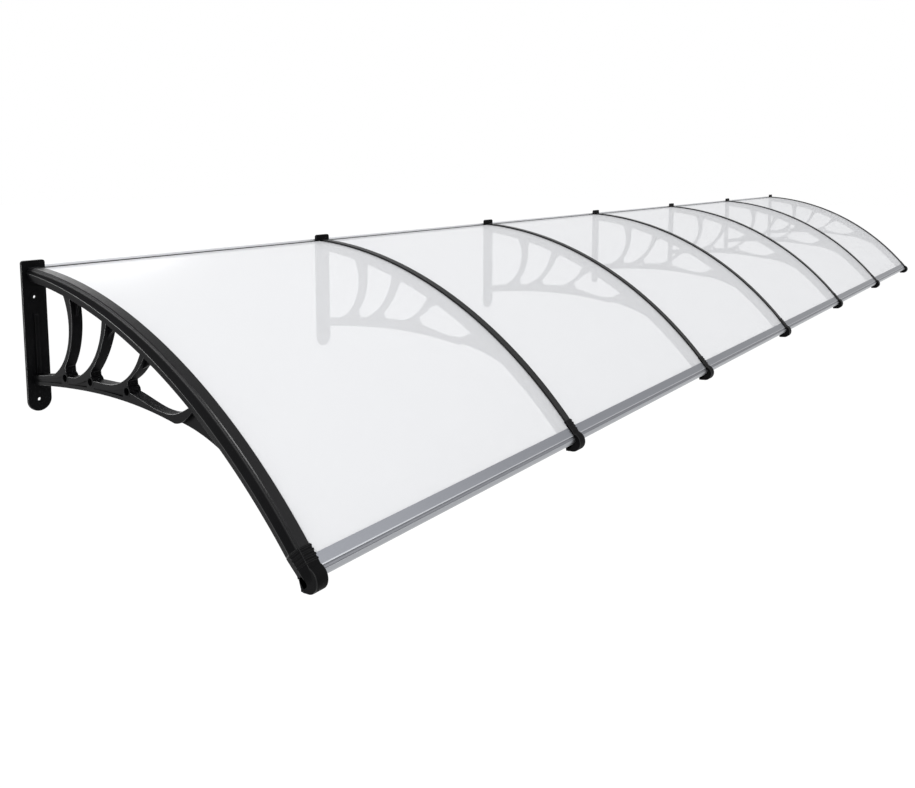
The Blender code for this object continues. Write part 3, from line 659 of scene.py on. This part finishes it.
def grained_plastic():
    """Black plastic with a leather-like grain that scatters the light to a dark grey."""
    finish = Finish("grained_plastic")
    here = finish.place()
    pebble = finish.add("ShaderNodeTexVoronoi", {"feature": "SMOOTH_F1"},
                        {"Vector": here, "Scale": 620.0, "Smoothness": 0.6})
    speck = finish.noise(here, 1500, 2)
    cloud = finish.noise(here, 14, 4)
    colour = finish.blend(speck * 0.6 + cloud * 0.4, (0.003, 0.003, 0.0034, 1), (0.010, 0.010, 0.011, 1))
    return finish.surface(
        pebble + speck * 0.6, 0.00022,
        Base_Color=colour,
        Roughness=0.36 + speck * 0.12,
        Specular_IOR_Level=0.14,
    )


place_copies("grained_cover", at_ends_and_between(cover_mesh), BRACKET_PLACES,
             [grained_plastic(), black_finishes[1]], "cover_strip")

# Front rails
# An anodised aluminium extrusion closes the front edge of each sheet: two lips take the sheet,
# and a hollow nose stiffens the edge. A flute runs along the nose, between a line and a round
# lip; the flute is painted a little darker as shade, and the line and the lip are painted lighter
# as a highlight. The ends sit in the front caps.
RAIL_WALL = 0.0013
RAIL_TOP_LIP = 0.019
RAIL_LOW_LIP = 0.009
RAIL_TOP = SHEET_TOP - FIT - RAIL_WALL
RAIL_RADIUS = 0.0130
RAIL_CORE_RADIUS = 0.0085
RAIL_NOSE_SWEEP = math.radians(220)
RAIL_NOSE_ALONG = SHEET_END + 0.0115
RAIL_NOSE = arch_point(RAIL_NOSE_ALONG, RAIL_TOP + RAIL_RADIUS)
# Places over the nose, as distances past its start
LINE_START = -0.0068
FLUTE_START = -0.0040
FLUTE_END = 0.0044
FLUTE_DEPTH = 0.0022


def heading(along):
    """Direction of the arch as an angle in the side profile."""
    return -(ARCH_TILT + along / ARCH_RADIUS)


def sunk(past):
    """Depth of the flute, a distance past the start of the nose."""
    share = (past - FLUTE_START) / (FLUTE_END - FLUTE_START)
    return FLUTE_DEPTH * math.sin(math.pi * share) ** 0.5 if 0 < share < 1 else 0.0


def rail_profile(margin):
    """Outline of the rail, or with a margin the room that it needs in a cap."""
    end = SHEET_END
    top_start, low_start = end - RAIL_TOP_LIP - margin, end - RAIL_LOW_LIP - margin
    normal = heading(RAIL_NOSE_ALONG) + math.pi / 2
    radius = RAIL_RADIUS + margin
    nose = arc(RAIL_NOSE, radius, normal, -RAIL_NOSE_SWEEP, 88)
    profile = [arch_point(top_start, RAIL_TOP - margin)]
    if margin == 0:
        for past in evenly(LINE_START, 0, 17)[:-1]:
            profile.append(arch_point(RAIL_NOSE_ALONG + past, RAIL_TOP + sunk(past)))
        for i, turn in enumerate(evenly(0, RAIL_NOSE_SWEEP, 88)):
            pull = 1 - sunk(turn * radius) / radius
            nose[i] = tuple(c + (p - c) * pull for p, c in zip(nose[i], RAIL_NOSE))
    profile += nose
    low = SHEET_UNDER + FIT + RAIL_WALL + margin
    profile += [arch_point(end + FIT, low), arch_point(low_start, low)]
    if margin:
        return profile + [arch_point(low_start, SHEET_UNDER), arch_point(top_start, SHEET_TOP)]
    slot = ((low_start, SHEET_UNDER + FIT), (end + FIT, SHEET_UNDER + FIT),
            (end + FIT, SHEET_TOP - FIT), (top_start, SHEET_TOP - FIT))
    return profile + [arch_point(along, depth) for along, depth in slot]


def rail_mesh():
    rail = slab(rail_profile(0), PANEL_EDGE, PANEL_PITCH - PANEL_EDGE, edge=0.0003)
    middle = (PANEL_PITCH / 2, -RAIL_NOSE[0], RAIL_NOSE[1])
    core = turned(middle, "x", [(-0.6, RAIL_CORE_RADIUS), (0.6, RAIL_CORE_RADIUS)])
    rail = cut_away(rail, [core])
    ahead = heading(RAIL_NOSE_ALONG)
    # Each face takes a finish by its place: the flange the plain one, the flute a darker one as painted
    # shade, the line and the lip a lighter one as a painted highlight
    for face in rail.faces:
        place = face.calc_center_median()
        arm = Vector((-place.y - RAIL_NOSE[0], place.z - RAIL_NOSE[1]))
        turn = ahead + math.pi / 2 - math.atan2(arm.y, arm.x)
        past = turn * RAIL_RADIUS if turn > 0 else arm.dot((math.cos(ahead), math.sin(ahead)))
        outside = arm.length > RAIL_RADIUS - FLUTE_DEPTH - 0.0005
        if not outside or not LINE_START < past < math.pi * RAIL_RADIUS:
            face.material_index = 0
        elif FLUTE_START < past < FLUTE_END:
            face.material_index = 1
        else:
            face.material_index = 2
    return joined("extruded_rail", [rail])


def anodised_aluminium(name, dark, light, roughness):
    """Satin aluminium with the faint lengthwise lines of the die."""
    finish = Finish(name)
    lines = finish.noise(finish.place((1.5, 900, 900)), 1.0, 3)
    cloud = finish.noise(finish.place((1, 4, 4)), 3.0, 3)
    colour = finish.blend(lines * 0.6 + cloud * 0.4, dark, light)
    return finish.surface(
        lines, 0.00006,
        Base_Color=colour,
        Metallic=1.0,
        Roughness=roughness + lines * 0.14,
    )


# The flange; the flute, rougher and painted a little darker as shade; the line and the lip, painted lighter
# as a highlight
rail_finishes = [
    anodised_aluminium("anodised_flange", (0.175, 0.182, 0.20, 1), (0.235, 0.242, 0.262, 1), 0.32),
    anodised_aluminium("anodised_flute_painted_shade", (0.165, 0.17, 0.185, 1), (0.215, 0.22, 0.238, 1), 0.40),
    anodised_aluminium("anodised_lip_painted_highlight", (0.33, 0.34, 0.36, 1), (0.40, 0.41, 0.43, 1), 0.30),
]
place_copies("extruded_rail", [rail_mesh()] * PANEL_COUNT, PANEL_PLACES, rail_finishes,
             "front_rail")

# Front caps
# A black moulded cap slides on the front end of each rib and clasps the ends of two rails. Four
# ridges run over its top and sides for grip. It ends in a round nose with a hollow in each side.
CAP_WIDTH = 0.030
NECK_END = 1.150
NECK_UNDER = 0.0445
FLANK_END = 1.178
RIDGE_COUNT = 4
RIDGE_WIDTH = 0.0045
RIDGE_PITCH = 0.0090
RIDGE_HEIGHT = 0.0010
NOSE_RADIUS = 0.0265
NOSE_DEPTH = 0.0210
NOSE_HOLLOW = 0.0025
NOSE_ALONG = SHEET_END + 0.0190
NOSE = arch_point(NOSE_ALONG, NOSE_DEPTH)


def block_section(along, proud=0.0):
    """The rib's flared section, carried on and run out into the sides of the nose."""
    under = rib_under(RIB_END)
    run_in = min(1.0, (along - CAP_START) / (NECK_END - CAP_START))
    run_out = max(0.0, (along - NECK_END) / (FLANK_END - NECK_END))
    rise = (under - NECK_UNDER) * run_in
    half = CAP_WIDTH / 2 + proud
    widest = half + (BELLY_WIDTH - RIB_WIDTH) / 2 * (1 - run_out * run_out) - 0.0005 * run_out
    return both_sides([
        (half - 0.0005 * run_out, 0.004 * run_out - proud),
        (widest, under - BELLY_ABOVE_FOOT - rise),
        (FOOT_WIDTH / 2 + 0.0005 + proud, under - rise),
    ])


def ridge_section(along):
    """Ridge over the top and down both flared sides as far as the belly."""
    top, belly, foot = block_section(along, RIDGE_HEIGHT)[:3]
    return both_sides([top, belly, (foot[0] - 2 * RIDGE_HEIGHT, belly[1] + 0.002)])


def nose_profile():
    """Round nose with a flat heel behind and below it."""
    start = heading(NOSE_ALONG) + math.pi / 2 + math.acos(NOSE_DEPTH / NOSE_RADIUS)
    heel_out, heel_up = NOSE[0] - 0.020, NOSE[1] - NOSE_RADIUS - 0.002
    nose = arc(NOSE, NOSE_RADIUS, start, -(start + math.pi / 2), 40)
    back = NECK_END - 0.004
    return nose + [(heel_out, heel_up), (heel_out, heel_up + 0.004),
                   arch_point(back, 0.0405), arch_point(back, 0.004)]


def cap_mesh(end):
    half = CAP_WIDTH / 2
    rooms = [[arch_point(a, d) for a, d in (
        (CAP_START - 0.004, SHEET_TOP - FIT), (SHEET_END, SHEET_TOP - FIT),
        (SHEET_END, RIB_TOP), (CAP_START - 0.004, RIB_TOP))], rail_profile(FIT)]
    rim = bezier((1.156, 0.0245), (1.172, 0.0195), (1.183, 0.0300), (1.182, 0.0470), 16)
    hollow = [arch_point(along, depth) for along, depth in rim + [(1.182, 0.065), (1.156, 0.065)]]

    def rail_rooms():
        spans = [sorted((side * FIN_WIDTH / 2, side * 0.030)) for side in (-1, 1) if side != end]
        return [slab(room, left, right, edge=0) for left, right in spans for room in rooms]

    def nose_hollows():
        floor = half - NOSE_HOLLOW
        return [slab(hollow, floor, 0.030, edge=0), slab(hollow, -0.030, -floor, edge=0)]

    ridges = []
    for i in range(RIDGE_COUNT):
        start = CAP_START + RIDGE_WIDTH / 2 + i * RIDGE_PITCH
        ridges.append(run(ridge_section, [start, start + RIDGE_WIDTH], edge=0.0006))
    block = run(block_section, [CAP_START] + evenly(NECK_END, FLANK_END, 10), edge=0.0008)
    bmesh.ops.triangulate(block, faces=block.faces)
    nose = slab(nose_profile(), -half, half, edge=0.0014)
    shapes = [cut_away(ridge, rail_rooms()) for ridge in ridges]
    shapes += [cut_away(shape, rail_rooms() + nose_hollows()) for shape in (block, nose)]
    return joined("ridged_cap", shapes)


place_copies("ridged_cap", at_ends_and_between(cap_mesh), BRACKET_PLACES, black_finishes,
             "front_cap")

# Back rails and seals
# A thin aluminium angle runs along the wall under the back edge of each sheet, and a strip of
# black rubber fills the corner between the angle and the sheet against rain.
BACK_WALL = 0.0015
BACK_RAIL_REACH = 0.022
BACK_RAIL_RISE = 0.008
SEAL_PROUD = 0.0015
SHEET_BACK_TOP = arch_point(along_at(SHEET_START, SHEET_TOP), SHEET_TOP)[1]
LEDGE_BACK = arch_point(along_at(0.0, SHEET_UNDER), SHEET_UNDER + FIT)


def angle_mesh():
    front = along_at(BACK_RAIL_REACH, SHEET_UNDER)
    low_back = arch_point(along_at(0.0, SHEET_UNDER), SHEET_UNDER + FIT + BACK_WALL)
    top = SHEET_BACK_TOP + BACK_RAIL_RISE
    profile = [
        (0.0, top), (0.0, low_back[1]), arch_point(front, SHEET_UNDER + FIT + BACK_WALL),
        arch_point(front, SHEET_UNDER + FIT), (BACK_WALL, LEDGE_BACK[1]), (BACK_WALL, top),
    ]
    left = PLATE_WIDTH / 2 + FIT
    return joined("wall_angle", [slab(profile, left, PANEL_PITCH - left, edge=0.0003)])


def seal_mesh():
    back, front = BACK_WALL + FIT, SHEET_START - FIT
    low, high = LEDGE_BACK[1] + FIT, SHEET_BACK_TOP + SEAL_PROUD
    left = PLATE_WIDTH / 2 + FIT * 2
    profile = [(back, low), (front, low), (front, high), (back, high)]
    return joined("rubber_seal", [slab(profile, left, PANEL_PITCH - left, edge=0.0006)])


def black_rubber():
    """Matt black rubber, slightly mottled."""
    finish = Finish("black_rubber")
    mottle = finish.noise(finish.place(), 260, 4)
    colour = finish.blend(mottle, (0.007, 0.007, 0.007, 1), (0.016, 0.016, 0.016, 1))
    return finish.surface(
        mottle, 0.0002, Base_Color=colour, Roughness=0.70 + mottle * 0.2, Specular_IOR_Level=0.3
    )


mill_finish = anodised_aluminium("mill_finish", (0.70, 0.71, 0.73, 1), (0.80, 0.81, 0.83, 1), 0.34)
place_copies("wall_angle", [angle_mesh()] * PANEL_COUNT, PANEL_PLACES, [mill_finish],
             "back_rail")
place_copies("rubber_seal", [seal_mesh()] * PANEL_COUNT, PANEL_PLACES, [black_rubber()],
             "back_seal")

# Studio
# The awning hangs at its usual height over a plain white floor in soft daylight from the upper
# left, seen from its left end as in the photograph.
FLOOR_DROP = 2.4
FLOOR_HALF = 60
CAMERA_PLACE = (-4.0585, -2.1362, 0.4304)
CAMERA_TILT = math.radians(6.132)
CAMERA_TURN = math.radians(53.065)


def seen_directly(finish):
    """1 for rays that show the background: from the camera, in a gloss or through plastic."""
    light_path = finish.add("ShaderNodeLightPath", output="Is Camera Ray")
    path = light_path.source.node.outputs
    glossy = Socket(finish, path["Is Glossy Ray"])
    through = Socket(finish, path["Is Transmission Ray"])
    return light_path.maths("MAXIMUM", light_path.maths("MAXIMUM", light_path, glossy), through)


def floor_finish():
    finish = Finish("studio_floor")
    paint = finish.add("ShaderNodeBsdfDiffuse", sockets={"Color": (0.90, 0.90, 0.90, 1)})
    white = finish.add("ShaderNodeEmission", sockets={"Color": (1, 1, 1, 1), "Strength": 1.1})
    mixed = finish.add("ShaderNodeMixShader",
                       sockets={0: seen_directly(finish) * 0.85, 1: paint, 2: white})
    finish.add("ShaderNodeOutputMaterial", sockets={"Surface": mixed})
    return finish.material


def studio_world():
    world = bpy.data.worlds.new("studio")
    world.use_nodes = True
    bpy.context.scene.world = world
    finish = Finish("studio", world.node_tree)
    light = finish.add("ShaderNodeBackground", sockets={"Color": (0.97, 0.98, 1.0, 1), "Strength": 0.60})
    white = finish.add("ShaderNodeBackground", sockets={"Color": (1, 1, 1, 1), "Strength": 1.0})
    mixed = finish.add("ShaderNodeMixShader", sockets={0: seen_directly(finish), 1: light, 2: white})
    finish.add("ShaderNodeOutputWorld", sockets={"Surface": mixed})


def soft_lamp(name, place, target, size, power):
    data = bpy.data.lights.new(name, "AREA")
    data.size = size
    data.energy = power
    lamp = bpy.data.objects.new(name, data)
    bpy.context.scene.collection.objects.link(lamp)
    lamp.location = place
    lamp.rotation_euler = (Vector(target) - Vector(place)).to_track_quat("-Z", "Y").to_euler()


corners = ((-1, -1), (1, -1), (1, 1), (-1, 1))
ground = extruded([(x * FLOOR_HALF, y * FLOOR_HALF, -FLOOR_DROP) for x, y in corners], (0, 0, -0.02))
floor = bpy.data.objects.new("studio_floor", to_mesh(ground, "studio_floor"))
bpy.context.scene.collection.objects.link(floor)
floor.data.materials.append(floor_finish())
studio_world()
soft_lamp("window", (-7.3, -1.25, 4.8), (-1.0, -0.5, 0), 1.8, 190)
soft_lamp("overhead", (1.5, -6.0, 5.0), (0.5, -0.5, 0), 6.0, 160)
soft_lamp("behind", (-0.4, 5.1, 2.2), (-2.6, 0, 0), 2.6, 55)
soft_lamp("low", (-6.0, 4.4, -0.9), (-3.0, -0.7, 0), 1.2, 60)

camera_data = bpy.data.cameras.new("camera")
camera_data.sensor_width = 36.0
camera_data.lens = 33.53
camera_data.shift_y = -0.15
camera = bpy.data.objects.new("camera", camera_data)
bpy.context.scene.collection.objects.link(camera)
camera.location = CAMERA_PLACE
camera.rotation_euler = (math.pi / 2 - CAMERA_TILT, 0, -CAMERA_TURN)
bpy.context.scene.camera = camera
bpy.context.scene.view_settings.view_transform = "Standard"
